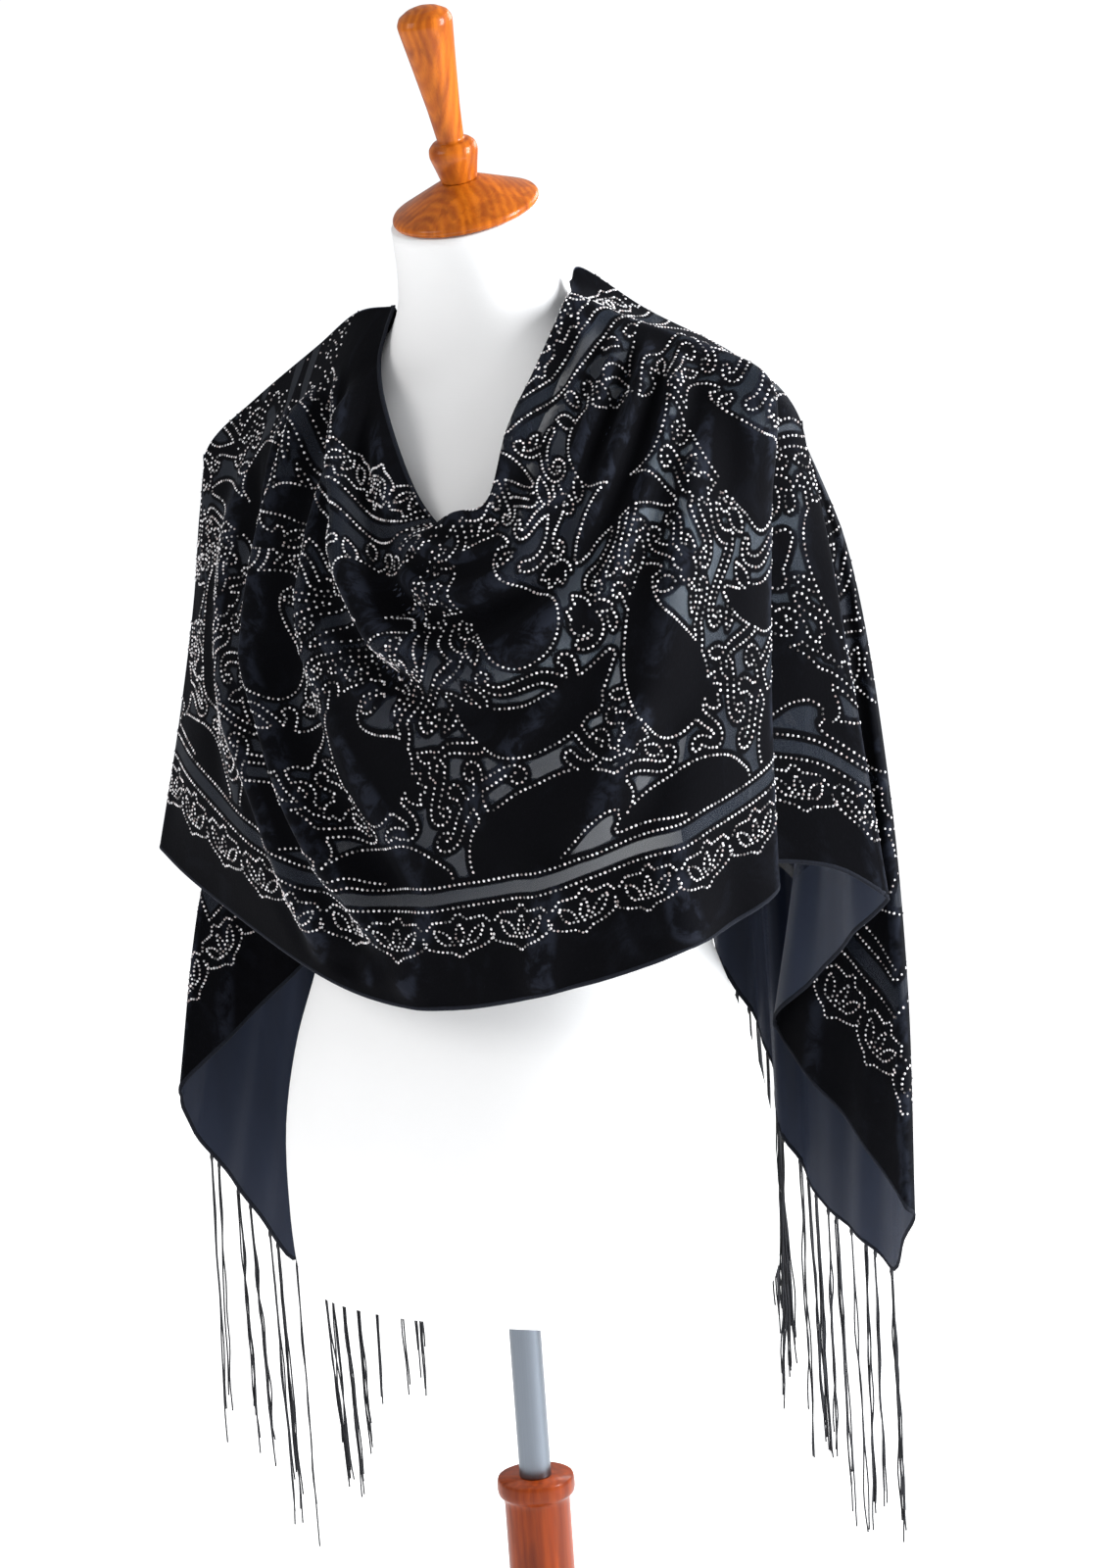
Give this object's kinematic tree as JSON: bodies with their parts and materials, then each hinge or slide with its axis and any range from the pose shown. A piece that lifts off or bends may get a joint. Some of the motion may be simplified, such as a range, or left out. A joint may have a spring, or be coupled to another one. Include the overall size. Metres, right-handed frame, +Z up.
{
  "type": "velvet shawl on dress form",
  "caption": "Rectangular burnt-out velvet shawl with fringed ends, draped round a limbless dress form that stands on a turned wooden foot.",
  "frame": {"origin": "on the floor, in the middle of the underside of the stand's foot, under the pole", "axes": "+Z up along the pole, -Y the way the form faces, +X the form's left side, which is on the right in a view from the front"},
  "size_m": [0.5666, 0.4026, 1.6241],
  "materials": {
    "velvet": "black pile with sheer burnt-out gaps and silver dots",
    "silk_fringe": "twisted silky black threads",
    "form_cover": "smooth white woven cover",
    "cap_wood": "glossy orange-brown varnish",
    "column_wood": "glossy red-brown varnish",
    "steel_pole": "brushed"
  },
  "bodies": {
    "root": {"shawl_front": "velvet", "shawl_end_minus": "velvet", "shawl_end_plus": "velvet", "fringe_minus": "silk_fringe", "fringe_plus": "silk_fringe", "form_torso": "form_cover", "neck_cap": "cap_wood", "finial": "cap_wood", "pole": "steel_pole", "stand_column": "column_wood", "stand_base": "column_wood"}
  },
  "joints": []
}
